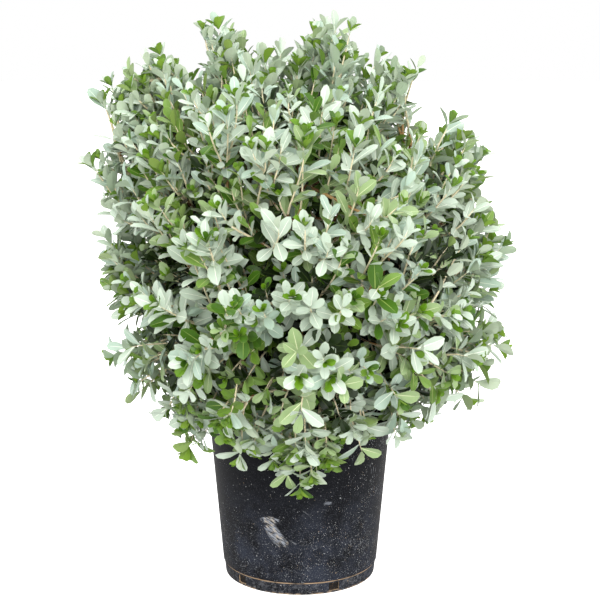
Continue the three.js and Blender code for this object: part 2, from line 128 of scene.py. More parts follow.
foot_radius = POT_BASE_RADIUS - FOOT_IN
foot_edge = wall_radius(FOOT_HEIGHT) - FOOT_IN
lip_foot = wall_radius(LIP_LOW)
lip_radius = wall_radius(POT_HEIGHT) + LIP_OUT
pot_profile = [
    (foot_radius - 0.003, 0),
    (foot_radius - 0.0008, 0.0008),
    (foot_radius, 0.003),
    (foot_edge, FOOT_HEIGHT - 0.001),
    (foot_edge - 0.0006, FOOT_HEIGHT),
    (foot_edge - GROOVE_DEPTH, FOOT_HEIGHT + 0.0008),
    (foot_edge - GROOVE_DEPTH, FOOT_HEIGHT + 0.0016),
    (wall_radius(GROOVE_TOP) - 0.0008, GROOVE_TOP),
    (wall_radius(GROOVE_TOP), GROOVE_TOP + 0.001),
]
pot_profile += [(wall_radius(height), height) for height in spread(0.045, LIP_LOW - 0.002, WALL_RINGS)]
pot_profile += [
    (lip_foot + 0.001, LIP_LOW),
    (lip_foot + LIP_OUT - 0.0015, LIP_LOW + 0.0005),
    (lip_foot + LIP_OUT, LIP_LOW + 0.002),
    (lip_radius, POT_HEIGHT - 0.004),
    (lip_radius - 0.0012, POT_HEIGHT - 0.0012),
    (lip_radius - 0.004, POT_HEIGHT),
    (wall_radius(POT_HEIGHT) - 0.002, POT_HEIGHT),
    (inner_radius(POT_HEIGHT) + 0.0005, POT_HEIGHT - 0.001),
    (inner_radius(POT_HEIGHT), POT_HEIGHT - 0.004),
    (inner_radius(POT_FLOOR), POT_FLOOR),
]
tub = raise_disc("tub", pot_profile, POT_SIDES)
for azimuth in DRAIN_AZIMUTHS:
    place = direction(azimuth) * POT_BASE_RADIUS + Vector((0, 0, DRAIN_MIDDLE))
    bpy.ops.mesh.primitive_cube_add(size=1, location=place, rotation=(0, 0, math.radians(azimuth)))
    punch = bpy.context.object
    punch.scale = DRAIN_SIZE
    bpy.ops.object.transform_apply(scale=True)
    apply_modifier(tub, "BOOLEAN", object=punch, operation="DIFFERENCE", solver="EXACT")
    bpy.data.objects.remove(punch)
smooth_by_angle(tub, 35)


def add_node(tree, kind, sockets=None, **settings):
    """A shader node with its settings, and a value or another node's output for each socket named."""
    made = tree.nodes.new("ShaderNode" + kind)
    for name, value in settings.items():
        setattr(made, name, value)
    for name, value in (sockets or {}).items():
        if isinstance(value, bpy.types.NodeSocket):
            tree.links.new(value, made.inputs[name])
        else:
            made.inputs[name].default_value = value
    return made


def new_material(name, **values):
    """A material with one Principled shader, whose sockets get the plain values given by name."""
    material = bpy.data.materials.new(name)
    material.use_nodes = True
    shader = material.node_tree.nodes["Principled BSDF"]
    for socket, value in values.items():
        shader.inputs[socket.replace("_", " ")].default_value = value
    return material, shader


def feed(node, socket, value):
    node.id_data.links.new(value, node.inputs[socket])


def object_place(shader):
    return add_node(shader.id_data, "TexCoord").outputs["Object"]


def blotch_group():
    """Uneven patches for dirt, wear and bark: a mask from 0 to 1 where a noise rises from Low to High."""
    group = bpy.data.node_groups.new("blotches", "ShaderNodeTree")
    group.interface.new_socket(name="Vector", in_out="INPUT", socket_type="NodeSocketVector")
    for name in ("Scale", "Detail", "Low", "High"):
        group.interface.new_socket(name=name, in_out="INPUT", socket_type="NodeSocketFloat")
    group.interface.new_socket(name="Mask", in_out="OUTPUT", socket_type="NodeSocketFloat")
    start = group.nodes.new("NodeGroupInput").outputs
    cloud = add_node(group, "TexNoise", {
        "Vector": start["Vector"], "Scale": start["Scale"], "Detail": start["Detail"], "Roughness": 0.6})
    ramp = add_node(group, "MapRange", {
        "Value": cloud.outputs["Fac"], "From Min": start["Low"], "From Max": start["High"]},
        interpolation_type="SMOOTHSTEP")
    feed(group.nodes.new("NodeGroupOutput"), "Mask", ramp.outputs["Result"])
    return group


blotches = blotch_group()


def blotch_mask(vector, scale, detail, low, high):
    sockets = {"Vector": vector, "Scale": scale, "Detail": detail, "Low": low, "High": high}
    return add_node(vector.id_data, "Group", sockets, node_tree=blotches).outputs["Mask"]


def maths(operation, first, second):
    return add_node(first.id_data, "Math", {0: first, 1: second}, operation=operation).outputs[0]


def times(first, second):
    return maths("MULTIPLY", first, second)


def larger(first, second):
    return maths("MAXIMUM", first, second)


def vector_maths(operation, sockets, output="Vector"):
    tree = sockets[0].id_data
    return add_node(tree, "VectorMath", sockets, operation=operation).outputs[output]


def far_out(place, axes):
    """How far a place lies from the origin along those axes that are 1 and not 0."""
    return vector_maths("LENGTH", {0: vector_maths("MULTIPLY", {0: place, 1: axes})}, "Value")


def between(value, low, high, low_result=0.0, high_result=1.0):
    """The value mapped smoothly from the range low..high to the two results."""
    made = add_node(value.id_data, "MapRange", {
        "Value": value, "From Min": low, "From Max": high, "To Min": low_result, "To Max": high_result},
        interpolation_type="SMOOTHSTEP")
    return made.outputs["Result"]


MIX_UNDER, MIX_OVER = 6, 7
MIX_RESULT = 2


def coat(colour, over, mask):
    """One colour laid over another where the mask says."""
    sockets = {0: mask}
    for socket, value in ((MIX_UNDER, colour), (MIX_OVER, over)):
        sockets[socket] = value if isinstance(value, bpy.types.NodeSocket) else (*value, 1)
    return add_node(mask.id_data, "Mix", sockets, data_type="RGBA").outputs[MIX_RESULT]


def turned_place(place, middle, turn, size):
    """Object coordinates moved to a middle, turned about Y and measured in units of size."""
    return add_node(place.id_data, "Mapping", {
        "Vector": place, "Location": middle, "Rotation": (0, turn, 0), "Scale": size},
        vector_type="TEXTURE").outputs["Vector"]


def add_relief(shader, height, strength, depth):
    """Relief that is too fine for the mesh."""
    sockets = {"Height": height, "Strength": strength, "Distance": depth}
    feed(shader, "Normal", add_node(shader.id_data, "Bump", sockets).outputs["Normal"])


PLASTIC = (0.0026, 0.0031, 0.0048)
PLASTIC_DUST_AND_BOUNCE = (0.027, 0.032, 0.047)
GRIT_GREY = (0.110, 0.114, 0.126)
SPLASH_PALE = (0.56, 0.58, 0.60)
SPLASH_TAN = (0.46, 0.34, 0.22)
SCRATCH_GREY = (0.30, 0.31, 0.33)
SCUFF_GREY = (0.27, 0.29, 0.33)
SCUFF_TAN = (0.42, 0.37, 0.31)
SCUFF_MIDDLE = (-0.058, -0.190, 0.155)
SCUFF_TURN = math.radians(-35)
SCUFF_SIZE = (0.0175, 1.0, 0.047)
SCUFF_HEAD_MIDDLE = (-0.068, -0.190, 0.187)
SCUFF_HEAD_SIZE = (0.025, 1.0, 0.0095)
STROKE_TURN = math.radians(-58)
STROKE_SIZE = (0.006, 1.0, 0.030)
SMEAR_MIDDLE = (0.065, -0.195, 0.230)
SMEAR_SIZE = (0.012, 1.0, 0.005)
MIX_CRUST = (0.50, 0.36, 0.23)
CRUST_IN_GROOVE = (FOOT_HEIGHT - 0.0004, FOOT_HEIGHT + 0.0022)
CRUST_AT_RIM = (0.001, 0.006)
CRUST_IN_DRAIN_RADIUS = foot_radius - 0.0008
tub_finish, shader = new_material(
    "tub_plastic", IOR=1.2, Sheen_Weight=0.03, Sheen_Roughness=0.35, Sheen_Tint=(0.62, 0.40, 0.28, 1))
place = object_place(shader)
apart = add_node(shader.id_data, "SeparateXYZ", {0: place}).outputs
low_down = between(apart["Z"], 0.0, 0.34, 1.0, 0.0)
to_right = between(apart["X"], -0.10, 0.17, 0.40, 1.0)
# Dust haze on the lower wall, paler and rougher. It is also painted light: the lower wall is made paler where
# light bounces up from the floor.
dust_and_bounce_haze = times(blotch_mask(place, 15, 6, 0.36, 0.70), between(low_down, 0.0, 0.7, 0.0, 0.9))
colour = coat(PLASTIC, PLASTIC_DUST_AND_BOUNCE, dust_and_bounce_haze)
gritty = times(blotch_mask(place, 420, 3, 0.52, 0.72), between(low_down, 0.0, 1.0, 0.22, 0.95))
colour = coat(colour, GRIT_GREY, gritty)


def speck_layer(scale, amount, smallest, largest):
    """Splashes of dried mix: a mask of small uneven spots, and a number that tints each of them."""
    tree = place.id_data
    ragged = add_node(tree, "TexNoise", {"Vector": place, "Scale": scale * 2.2, "Detail": 2})
    shift = vector_maths("SCALE", {0: ragged.outputs["Color"], "Scale": 0.9 / scale})
    moved = vector_maths("ADD", {0: place, 1: shift})
    cells = add_node(tree, "TexVoronoi", {"Vector": moved, "Scale": scale})
    chance = add_node(tree, "SeparateColor", {0: cells.outputs["Color"]}).outputs
    size = between(chance["Green"], 0.2, 1.0, smallest, largest)
    dot = maths("LESS_THAN", cells.outputs["Distance"], size)
    return times(maths("LESS_THAN", chance["Red"], amount), dot), chance["Blue"]


crowded = blotch_mask(place, 24, 3, 0.34, 0.64)
at_side = between(apart["X"], 0.06, 0.19, 0.0, 0.85)
amount = times(larger(low_down, at_side), times(to_right, crowded))
fine, fine_tint = speck_layer(430, between(amount, 0.0, 0.8, 0.03, 0.42), 0.16, 0.34)
coarse, coarse_tint = speck_layer(210, between(amount, 0.0, 0.8, 0.02, 0.24), 0.10, 0.24)
specks = larger(fine, coarse)
speck_colour = coat(SPLASH_PALE, SPLASH_TAN, between(larger(fine_tint, coarse_tint), 0.75, 1.0))
colour = coat(colour, speck_colour, times(specks, 0.75))


def scratches(turn, length, share):
    """Fine scratches that run one way, turned about Y from the level, as a mask."""
    return blotch_mask(turned_place(place, (0, 0, 0), turn, (length, 1, 1)), 170, 3, share, share + 0.06)


level_marks = times(scratches(0, 7, 0.66), low_down)
slant_marks = times(scratches(math.radians(34), 8, 0.67), low_down)
upright_marks = times(scratches(math.radians(86), 8, 0.65), at_side)
marks = larger(level_marks, larger(slant_marks, upright_marks))
colour = coat(colour, SCRATCH_GREY, times(marks, 0.6))


def patch(middle, turn, size, ragged, soft):
    """An uneven rubbed patch on the front of the tub, as a mask."""
    inside = turned_place(place, middle, turn, size)
    edge = add_node(place.id_data, "TexNoise", {"Vector": inside, "Scale": 1.7, "Detail": 3})
    uneven = times(maths("SUBTRACT", edge.outputs["Fac"], 0.5), ragged)
    reach = maths("ADD", far_out(inside, (1, 0, 1)), uneven)
    in_front = maths("LESS_THAN", apart["Y"], 0.0)
    return times(between(reach, soft, 1.0, 1.0, 0.0), in_front)


strokes = blotch_mask(turned_place(place, SCUFF_MIDDLE, STROKE_TURN, STROKE_SIZE), 1.6, 7, 0.40, 0.56)
scuff_body = patch(SCUFF_MIDDLE, SCUFF_TURN, SCUFF_SIZE, 1.3, 0.6)
scuff_head = patch(SCUFF_HEAD_MIDDLE, 0, SCUFF_HEAD_SIZE, 1.3, 0.6)
scuff = times(larger(scuff_body, scuff_head), strokes)
scuff_colour = coat(SCUFF_GREY, SCUFF_TAN, blotch_mask(place, 120, 3, 0.45, 0.65))
colour = coat(colour, scuff_colour, times(scuff, 0.9))
smear = patch(SMEAR_MIDDLE, 0, SMEAR_SIZE, 1.2, 0.4)
colour = coat(colour, SCUFF_GREY, times(smear, 0.45))
on_foot = maths("LESS_THAN", apart["Z"], FOOT_HEIGHT)
colour = coat(colour, GRIT_GREY, times(on_foot, blotch_mask(place, 90, 6, 0.44, 0.78)))
groove_low, groove_high = CRUST_IN_GROOVE
in_groove = times(maths("GREATER_THAN", apart["Z"], groove_low), maths("LESS_THAN", apart["Z"], groove_high))
groove_mix = times(in_groove, blotch_mask(place, 30, 4, 0.28, 0.52))
rim_mix = times(between(apart["Z"], *CRUST_AT_RIM, 1.0, 0.0), blotch_mask(place, 60, 4, 0.46, 0.60))
in_drain = times(on_foot, maths("LESS_THAN", far_out(place, (1, 1, 0)), CRUST_IN_DRAIN_RADIUS))
drain_mix = times(in_drain, blotch_mask(place, 110, 4, 0.34, 0.52))
colour = coat(colour, MIX_CRUST, larger(drain_mix, larger(groove_mix, rim_mix)))
feed(shader, "Base Color", colour)
feed(shader, "Roughness", between(larger(dust_and_bounce_haze, specks), 0.0, 1.0, 0.55, 0.85))
peel = add_node(shader.id_data, "TexNoise", {"Vector": place, "Scale": 260, "Detail": 3})
add_relief(shader, maths("ADD", peel.outputs["Fac"], specks), 0.25, 0.0006)
tub.data.materials.append(tub_finish)
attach(tub, "root")
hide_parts("pot")

# Potting mix: composted bark, fine and dark, that fills the tub to just under its lip. It is level round
# the trunk, a little lower at the wall, and lumpy, with coarse chips of bark lying on it.
SOIL_HEIGHT = 0.385
SOIL_EDGE = 0.377
SOIL_FLAT_RADIUS = 0.070
SOIL_LOW = 0.0033
SOIL_GAP = 0.0006
SOIL_LUMP = 0.005
SOIL_RINGS = 26
LUMP_SCALES = (60, 140)
CHIP_COUNT = 320
CHIP_SEED = 5
CHIP_LENGTH = (0.004, 0.013)
CHIP_WIDTH = (0.003, 0.007)
CHIP_THICKNESS = (0.0012, 0.003)
CHIP_TILT = 0.5
CHIP_UNEVEN = 0.35
CHIP_SPREAD = 0.95
CHIP_SINK = 0.001
CHIP_FALL = 0.006
GOLDEN_ANGLE = math.pi * (3 - math.sqrt(5))

soil_radius = inner_radius(SOIL_EDGE) - SOIL_GAP
soil_profile = [(inner_radius(SOIL_LOW) - SOIL_GAP, SOIL_LOW)]
soil_profile += [(inner_radius(height) - SOIL_GAP, height) for height in spread(0.06, SOIL_EDGE, 6)]
for radius in spread(soil_radius - 0.007, 0.007, SOIL_RINGS):
    share = min(1, (soil_radius - radius) / (soil_radius - SOIL_FLAT_RADIUS))
    soil_profile.append((radius, SOIL_EDGE + (SOIL_HEIGHT - SOIL_EDGE) * math.sin(share * math.pi / 2)))
soil = raise_disc("potting_mix", soil_profile, 108)
for vertex in soil.data.vertices:
    if vertex.co.z > SOIL_EDGE - 0.001:
        coarse_lump, fine_lump = (noise.noise(vertex.co * scale) for scale in LUMP_SCALES)
        lump = coarse_lump + 0.6 * fine_lump
        vertex.co.z += SOIL_LUMP * lump - SOIL_LUMP / 2
smooth_by_angle(soil, 50)


def mesh_from_triangles(name, places, corners, finishes=(), slots=None):
    """A smooth mesh object from arrays of places, of triangles, and of each triangle's material."""
    mesh = bpy.data.meshes.new(name)
    places, corners = np.asarray(places, np.float32), np.asarray(corners, np.int32)
    mesh.vertices.add(len(places))
    mesh.vertices.foreach_set("co", places.ravel())
    mesh.loops.add(corners.size)
    mesh.loops.foreach_set("vertex_index", corners.ravel())
    mesh.polygons.add(len(corners))
    mesh.polygons.foreach_set("loop_start", np.arange(0, corners.size, 3, dtype=np.int32))
    mesh.polygons.foreach_set("use_smooth", np.ones(len(corners), bool))
    if slots is not None:
        mesh.polygons.foreach_set("material_index", np.asarray(slots, np.int32))
    mesh.update(calc_edges=True)
    mesh.validate()
    for finish in finishes:
        mesh.materials.append(finish)
    body = bpy.data.objects.new(name, mesh)
    bpy.context.scene.collection.objects.link(body)
    return body


luck = random.Random(CHIP_SEED)
chip_corners = np.array([(x, y, z) for x in (-1, 1) for y in (-1, 1) for z in (-1, 1)], float)
CHIP_FACES = [(0, 1, 3), (0, 3, 2), (4, 6, 7), (4, 7, 5), (0, 4, 5), (0, 5, 1),
              (2, 3, 7), (2, 7, 6), (0, 2, 6), (0, 6, 4), (1, 5, 7), (1, 7, 3)]
chip_places, chip_faces = [], []
for index in range(CHIP_COUNT):
    radius = soil_radius * CHIP_SPREAD * math.sqrt((index + 0.5) / CHIP_COUNT)
    turn = index * GOLDEN_ANGLE
    size = np.array([luck.uniform(*limits) for limits in (CHIP_LENGTH, CHIP_WIDTH, CHIP_THICKNESS)])
    heading = Matrix.Rotation(luck.uniform(0, math.tau), 3, "Z")
    tilt = heading @ Matrix.Rotation(luck.uniform(-CHIP_TILT, CHIP_TILT), 3, "X")
    uneven = np.array([[luck.uniform(-1, 1) for axis in range(3)] for corner in range(8)])
    shape = chip_corners * (1 + CHIP_UNEVEN * uneven)
    height = SOIL_HEIGHT - CHIP_SINK - CHIP_FALL * (radius / soil_radius) ** 2
    middle = (radius * math.cos(turn), radius * math.sin(turn), height)
    chip_places.append(shape * size @ np.array(tilt).T + middle)
    chip_faces.append(np.array(CHIP_FACES) + 8 * index)
chips = mesh_from_triangles("bark_chips", np.concatenate(chip_places), np.concatenate(chip_faces))
chips.data.polygons.foreach_set("use_smooth", np.zeros(len(chips.data.polygons), bool))

MIX_DARK = (0.022, 0.013, 0.008)
MIX_BROWN = (0.105, 0.058, 0.030)
MIX_PAINTED_SHADE = (0.005, 0.0035, 0.0025)
PAINTED_SHADE_HEIGHTS = (0.03, 0.06)
mix_finish, shader = new_material("composted_bark", Roughness=0.92)
place = object_place(shader)
height = add_node(shader.id_data, "SeparateXYZ", {0: place}).outputs["Z"]
colour = coat(MIX_DARK, MIX_BROWN, blotch_mask(place, 90, 8, 0.40, 0.66))
# Painted shade: the mix is darkened from about the drain holes' tops down, where it is seen in the shaded
# holes.
painted_shade_low = times(between(height, *PAINTED_SHADE_HEIGHTS, 1.0, 0.0), blotch_mask(place, 150, 4, 0.66, 0.50))
feed(shader, "Base Color", coat(colour, MIX_PAINTED_SHADE, painted_shade_low))
crumb = add_node(shader.id_data, "TexVoronoi", {"Vector": place, "Scale": 220}).outputs["Distance"]
add_relief(shader, crumb, 0.7, 0.002)
for body in (soil, chips):
    body.data.materials.append(mix_finish)
    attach(body, "root")
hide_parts("soil")

# Trunk and boughs: one piece of living wood. A short trunk with root flare stands in the mix, and sixteen
# boughs fork from it in four tiers and run up and out, each to the heart of its own mass of foliage.
# The bark is brown, with fine upright furrows.
TRUNK_TOP = 0.690
TRUNK_RADIUS = 0.029
TRUNK_TOP_RADIUS = 0.019
TRUNK_LINE = [Vector(place) for place in (
    (0, 0, 0.3853), (0, 0, 0.475), (0.010, -0.006, 0.580), (-0.006, 0.004, TRUNK_TOP))]
TRUNK_SAMPLES = 200
FLARE_COUNT = 5
FLARE_TURN = 20
FLARE_REACH = 0.036
FLARE_HEIGHT = 0.085
BOUGH_TIP_RADIUS = 0.007
BOUGH_END_RADIUS = 0.0055
BOUGH_FORK_OUT = 0.85
HANDLE_SHARE = 0.67
FORK_STEP = 0.009
STEM_LENGTH = 0.125
LEAN = -0.080
LEAN_FROM = 1.000
LEAN_TO = 1.200
TIERS = (
    dict(name="skirt", count=5, azimuth=0, fork=0.422, height=0.525, out=0.285, rise=12, radius=0.010),
    dict(name="waist", count=5, azimuth=36, fork=0.488, height=0.765, out=0.300, rise=48, radius=0.012),
    dict(name="shoulder", count=4, azimuth=-90, fork=0.546, height=1.025, out=0.262, rise=66, radius=0.013),
    dict(name="top", count=2, azimuth=-60, fork=0.668, height=1.165, out=0.100, rise=76, radius=0.013),
)
WOOD_VOXEL = 0.0044
FURROW_DEPTH = 0.0011
FURROWS_ROUND = 210
FURROWS_ALONG = 26


def bezier(points, share):
    """The place on a Bezier curve of any degree at a share of its parameter."""
    points = list(points)
    while len(points) > 1:
        points = [first.lerp(second, share) for first, second in zip(points, points[1:])]
    return points[0]


trunk_places = [bezier(TRUNK_LINE, share) for share in spread(0, 1, TRUNK_SAMPLES + 1)]
trunk_lengths = np.cumsum([0] + [(b - a).length for a, b in zip(trunk_places, trunk_places[1:])])


def trunk_at(share):
    """The place on the trunk's middle line at a share of its length."""
    along = np.interp(share * trunk_lengths[-1], trunk_lengths, np.linspace(0, 1, TRUNK_SAMPLES + 1))
    return bezier(TRUNK_LINE, along)


def trunk_radius(share):
    return TRUNK_RADIUS + (TRUNK_TOP_RADIUS - TRUNK_RADIUS) * share


def smooth_step(value, low, high):
    share = min(1, max(0, (value - low) / (high - low)))
    return share * share * (3 - 2 * share)


def lean_at(height):
    return LEAN * smooth_step(height, LEAN_FROM, LEAN_TO)


masses = []
for tier in TIERS:
    for index in range(tier["count"]):
        azimuth = tier["azimuth"] + index * 360 / tier["count"]
        heart = direction(azimuth) * tier["out"] + Vector((lean_at(tier["height"]), 0, tier["height"]))
        entry = direction(azimuth, tier["rise"])
        tip = heart - entry * STEM_LENGTH
        fork_share = (tier["fork"] + index * FORK_STEP - SOIL_HEIGHT) / (TRUNK_TOP - SOIL_HEIGHT)
        fork_out = trunk_radius(fork_share) * BOUGH_FORK_OUT if tier["name"] == "top" else 0
        fork = trunk_at(fork_share) + direction(azimuth) * fork_out
        bend = tip - entry * 0.5 * (tip - fork).length
        masses.append(SimpleNamespace(
            name=f"{tier['name']}_{index + 1}", tier=tier["name"], heart=heart, entry=entry,
            tip=tip, fork=fork, bend=bend, radius=tier["radius"]))


def add_limb(points):
    """A capped round limb along a smooth curve. Each point has its place, its two handles and its radius."""
    bpy.ops.curve.primitive_bezier_curve_add()
    limb = bpy.context.object
    limb.data.bevel_depth, limb.data.bevel_resolution, limb.data.resolution_u = 1, 3, 10
    limb.data.use_fill_caps = True
    spline = limb.data.splines[0]
    spline.bezier_points.add(len(points) - len(spline.bezier_points))
    for point, (middle, before, after, radius) in zip(spline.bezier_points, points):
        point.handle_left_type = point.handle_right_type = "FREE"
        point.co, point.handle_left, point.handle_right, point.radius = middle, before, after, radius
    return limb


deselect()
foot, low_handle, high_handle, top = TRUNK_LINE
buried = foot - Vector((0, 0, 0.006))
limbs = [add_limb([
    (buried, buried, low_handle, TRUNK_RADIUS + 0.003),
    (top, high_handle, top, TRUNK_TOP_RADIUS),
])]
for index in range(FLARE_COUNT):
    outward = direction(index * 360 / FLARE_COUNT + FLARE_TURN)
    root = buried + outward * FLARE_REACH
    crotch = foot + outward * 0.010 + Vector((0, 0, FLARE_HEIGHT))
    limbs.append(add_limb([
        (root, root, foot + outward * 0.024 + Vector((0, 0, 0.020)), 0.011),
        (crotch, crotch - Vector((0, 0, 0.030)), crotch, 0.013),
    ]))
for mass in masses:
    after_fork = mass.fork + (mass.bend - mass.fork) * HANDLE_SHARE
    before_tip = mass.tip + (mass.bend - mass.tip) * HANDLE_SHARE
    limbs.append(add_limb([
        (mass.fork, mass.fork, after_fork, mass.radius),
        (mass.tip, before_tip, mass.tip + mass.entry * 0.04, BOUGH_TIP_RADIUS),
        (mass.heart, mass.heart - mass.entry * 0.04, mass.heart, BOUGH_END_RADIUS),
    ]))
for limb in limbs:
    limb.select_set(True)
bpy.context.view_layer.objects.active = limbs[0]
bpy.ops.object.convert(target="MESH")
bpy.ops.object.join()
wood = bpy.context.object
wood.name = wood.data.name = "trunk_and_boughs"
apply_modifier(wood, "REMESH", mode="VOXEL", voxel_size=WOOD_VOXEL)
apply_modifier(wood, "SMOOTH", factor=0.5, iterations=5)
bark_normals = [vertex.normal.copy() for vertex in wood.data.vertices]
for vertex, normal in zip(wood.data.vertices, bark_normals):
    upright = Vector((vertex.co.x * FURROWS_ROUND, vertex.co.y * FURROWS_ROUND, vertex.co.z * FURROWS_ALONG))
    furrow = abs(noise.noise(upright)) + 0.5 * noise.noise(upright * 2.3)
    vertex.co += normal * FURROW_DEPTH * (furrow - 0.2)
smooth_by_angle(wood, 80)

BARK_DARK = (0.075, 0.042, 0.022)
BARK_BROWN = (0.25, 0.135, 0.062)
BARK_PALE = (0.40, 0.29, 0.18)
bark_finish, shader = new_material("bark", Roughness=0.85)
place = object_place(shader)
furrows = blotch_mask(vector_maths("MULTIPLY", {0: place, 1: (9, 9, 1)}), 24, 6, 0.36, 0.60)
colour = coat(BARK_DARK, BARK_BROWN, furrows)
feed(shader, "Base Color", coat(colour, BARK_PALE, blotch_mask(place, 55, 5, 0.56, 0.74)))
add_relief(shader, furrows, 0.6, 0.0012)
wood.data.materials.append(bark_finish)
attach(wood, "root")
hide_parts("trunk", *[f"bough_{mass.name}" for mass in masses])

# Twigs: grown from the boughs' ends by the rule that gives the shrub its outline. First come the twigs that
# reach that outline, and the leading shoots that stand past it. Then finer shoots fill the outer layer, each
# forking from the nearest wood that lies behind it. Old twigs are brown, and young shoots cream.
CANOPY_MIDDLE = 0.790
CANOPY_HALF_WIDTH = 0.468
CANOPY_HALF_DEPTH = 0.455
CANOPY_RISE = 0.505
CANOPY_DROP = 0.470
ROUNDNESS_ABOVE = 2.8
ROUNDNESS_BELOW = 3
CLEFT_WIDTH = 0.130
CLEFT_DEPTH = 0.1
TWIG_COUNT = 60
TWIG_SEED = 15
TWIG_SPREAD = 0.22

# Tips of the leading shoots
LEADING_SHOOTS = (
    (-0.225, -0.05, 1.334), (-0.19, -0.03, 1.338), (-0.208, -0.06, 1.322), (-0.165, 0.045, 1.318),
    (0.062, -0.02, 1.344), (0.088, -0.05, 1.338), (0.036, -0.04, 1.328), (0.12, -0.085, 1.334),
    (0.235, -0.04, 1.24), (0.282, -0.03, 1.25), (0.2, 0.12, 1.27), (-0.464, -0.04, 1.166),
    (-0.446, -0.04, 1.208), (-0.398, -0.07, 1.24), (-0.335, 0.02, 1.278), (-0.36, -0.05, 1.265),
    (0.406, -0.06, 1.078), (0.428, -0.04, 1.04), (0.43, -0.03, 0.96), (0.432, -0.05, 0.915),
    (-0.496, -0.04, 1.02), (-0.474, -0.045, 1.036), (-0.476, -0.03, 0.85), (0.366, -0.06, 1.096),
    (-0.385, -0.02, 1.214), (-0.04, -0.06, 1.286), (0.138, -0.02, 1.3), (0.262, -0.06, 1.226),
    (-0.464, -0.05, 0.8), (-0.462, -0.02, 0.758), (-0.454, -0.04, 0.716), (0.472, -0.03, 0.88),
    (0.497, -0.03, 0.828), (0.472, -0.03, 0.712), (0.48, -0.04, 0.606), (0.488, -0.06, 0.566),
    (0.452, -0.05, 0.516), (0.446, -0.05, 0.46), (0.405, -0.06, 0.43), (-0.456, -0.08, 0.545),
    (-0.4, -0.06, 0.44), (-0.262, -0.195, 0.345), (-0.14, -0.275, 0.345), (-0.028, -0.28, 0.302),
    (0.0, -0.28, 0.272), (0.04, -0.282, 0.3), (0.228, -0.205, 0.372), (0.06, 0.275, 0.318),
    (-0.225, 0.205, 0.345), (0.245, 0.175, 0.34), (-0.29, 0.395, 0.93), (0.255, 0.41, 1.01),
    (0.02, 0.49, 0.72), (-0.165, -0.465, 0.76), (0.215, -0.44, 0.98),
)

# Bays in the outline where sky shows: the x and z of each one's middle, and its radius
BAYS = (
    (0.292, 1.176, 0.042), (0.33, 1.1, 0.034), (0.45, 1.005, 0.022), (0.38, 0.375, 0.03),
    (0.246, 0.322, 0.03), (0.28, 0.346, 0.034), (-0.275, 0.315, 0.028), (-0.305, 0.335, 0.032),
    (-0.335, 0.365, 0.03), (-0.37, 0.398, 0.034), (-0.44, 0.482, 0.04), (-0.484, 0.92, 0.022),
    (-0.528, 0.955, 0.03), (-0.462, 1.098, 0.038), (-0.256, 1.262, 0.044), (-0.108, 1.304, 0.018),
    (-0.084, 1.3, 0.02), (0.0, 1.316, 0.028), (0.158, 1.285, 0.03),
)
WORD = 0xFFFFFFFF
SHOOT_COUNT = 1250
SHOOT_SEED = 41
SHOOT_SPREAD = 0.07
SHOOT_DEPTH = 0.150
SHOOT_OUT = 0.012
HANGING, RISING = -1.0, 1.2
UPTURN = 3.4
UPTURN_AT_RIM = -0.6
LEAF_LENGTHS = (0.049, 0.070)
LEAF_LENGTH_FROM = 0.40
LEAF_LENGTH_RISE = 0.45
SIDE_SHOOTS = 5
SIDE_BACK = (0.025, 0.100)
SIDE_OUT = (0.020, 0.048)
FORK_BACK = (0.13, 0.22)
FORKS_ON_STEM = (0.35, 1.0, 8)
FORKS_ON_SHOOT = (0.10, 0.62, 7)
START_HANDLE = 0.3
END_HANDLE = 0.45
LAST_LEAF_SHARE = 0.45
RIM_SHOOTS = 90
DEEP_SHOOTS = 185
DEEP_REACH = (0.16, 0.31)
RIM_REACH = (0.240, 0.335)
RIM_HEIGHTS = (0.350, 0.430)
RIM_DEPTH = 0.03
POT_CLEARANCE = 0.008

# Recesses between the tufts: how fine each kind is, how deep, and from which noise on
RECESSES = ((9, 0.090, 0.02), (23, 0.055, 0.05))
RECESS_SOFT = 0.22
RECESS_SHARE = (1.50, 0.50)
RECESS_HEIGHTS = (0.60, 1.05)


def seeded(seed):
    """Numbers between 0 and 1 that are the same each time for one seed."""
    state = seed

    def draw():
        nonlocal state
        state = (state + 0x6D2B79F5) & WORD
        mixed = ((state ^ (state >> 15)) * (state | 1)) & WORD
        mixed ^= (mixed + (mixed ^ (mixed >> 7)) * (mixed | 61)) & WORD
        return ((mixed ^ (mixed >> 14)) & WORD) / (WORD + 1)

    return draw


def even_direction(index, count):
    """One of a count of directions that a golden-angle spiral spreads evenly."""
    rise = 1 - (2 * index + 1) / count
    level = math.sqrt(1 - rise * rise)
    turn = index * GOLDEN_ANGLE
    return Vector((math.sin(turn) * level, -math.cos(turn) * level, rise))


def canopy_point(aim):
    """The outline's point in one direction from its middle."""
    reach, power = (CANOPY_RISE, ROUNDNESS_ABOVE) if aim.z >= 0 else (CANOPY_DROP, ROUNDNESS_BELOW)
    level = math.hypot(aim.x / CANOPY_HALF_WIDTH, aim.y / CANOPY_HALF_DEPTH)
    upright = abs(aim.z) / reach
    point = aim * (level ** power + upright ** power) ** (-1 / power)
    point.z += CANOPY_MIDDLE
    nearest, second = sorted((mass.heart - point).length for mass in masses)[:2]
    cleft = 1 - min(1, (second - nearest) / CLEFT_WIDTH)
    point = point.lerp(Vector((0, 0, CANOPY_MIDDLE)), CLEFT_DEPTH * cleft * cleft)
    point.x += lean_at(point.z)
    return point


def outward_at(place):
    return Vector((place.x - lean_at(place.z), place.y, (place.z - CANOPY_MIDDLE) * 0.7)).normalized()


def growth_at(tip):
    """The way a shoot points at its tip: out and up high in the shrub, level or hanging low in it."""
    growth = outward_at(tip)
    growth.z += max(HANGING, min(RISING, UPTURN_AT_RIM + UPTURN * (tip.z - 0.360)))
    return growth.normalized()


